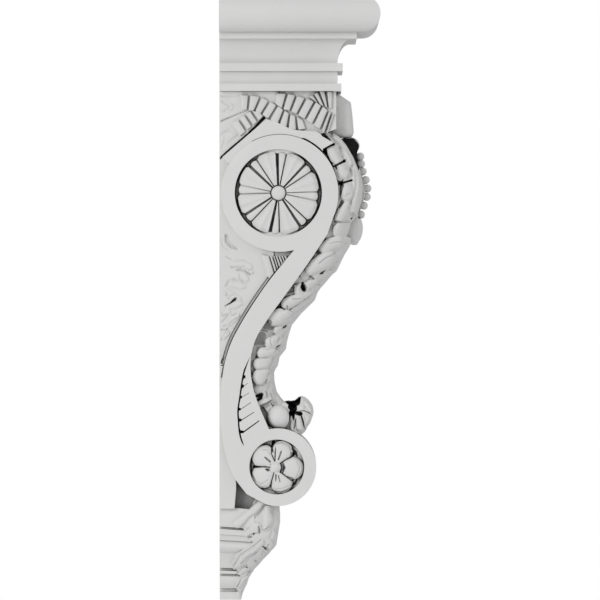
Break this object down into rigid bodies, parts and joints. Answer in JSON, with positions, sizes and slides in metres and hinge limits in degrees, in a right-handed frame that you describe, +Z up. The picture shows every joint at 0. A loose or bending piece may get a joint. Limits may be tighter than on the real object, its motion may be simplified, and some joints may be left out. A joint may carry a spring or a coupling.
{
  "type": "corbel bracket",
  "caption": "Carved scroll corbel with a moulded cap, rosettes in both volutes and acanthus leaves down its front; fixed to a wall by its flat back.",
  "frame": {"origin": "middle of the flat back face, half-way up, on the wall", "axes": "+Z up, -Y away from the wall towards the corbel's front, X across"},
  "size_m": [0.2296, 0.1768, 0.66],
  "materials": {
    "primed_wood": "matt white primer"
  },
  "bodies": {
    "root": {"corbel_bracket": "primed_wood"}
  },
  "joints": []
}
